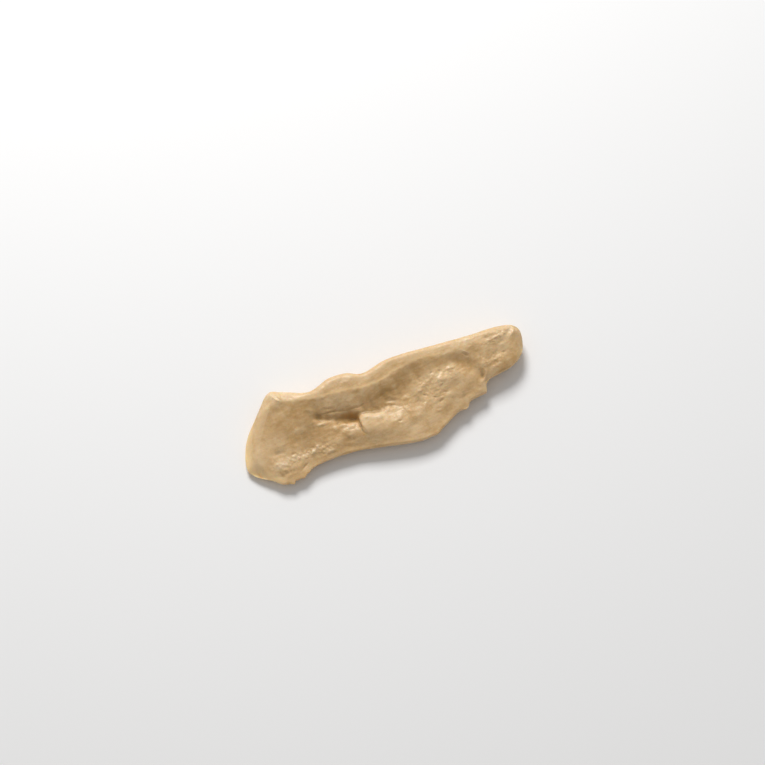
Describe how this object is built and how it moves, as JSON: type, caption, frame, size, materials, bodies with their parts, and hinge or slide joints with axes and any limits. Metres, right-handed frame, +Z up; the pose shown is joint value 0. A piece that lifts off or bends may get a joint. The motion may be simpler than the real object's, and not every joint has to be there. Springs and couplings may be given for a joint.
{
  "type": "steamed duck fillet",
  "caption": "Cooked duck fillet lying flat: a long uneven strip of pale meat with a rolled back edge, a valley in front of it, a raised flap and a narrow end lobe.",
  "frame": {"origin": "on the resting plane, under the middle of the fillet's box", "axes": "+X along the fillet towards its narrow end lobe, +Y towards the rolled back edge, +Z up from the resting plane"},
  "size_m": [0.0884, 0.0332, 0.01],
  "materials": {
    "cooked_meat": "moist cooked meat, fine grain, soft satin sheen"
  },
  "bodies": {
    "root": {"duck_fillet": "cooked_meat"}
  },
  "joints": []
}
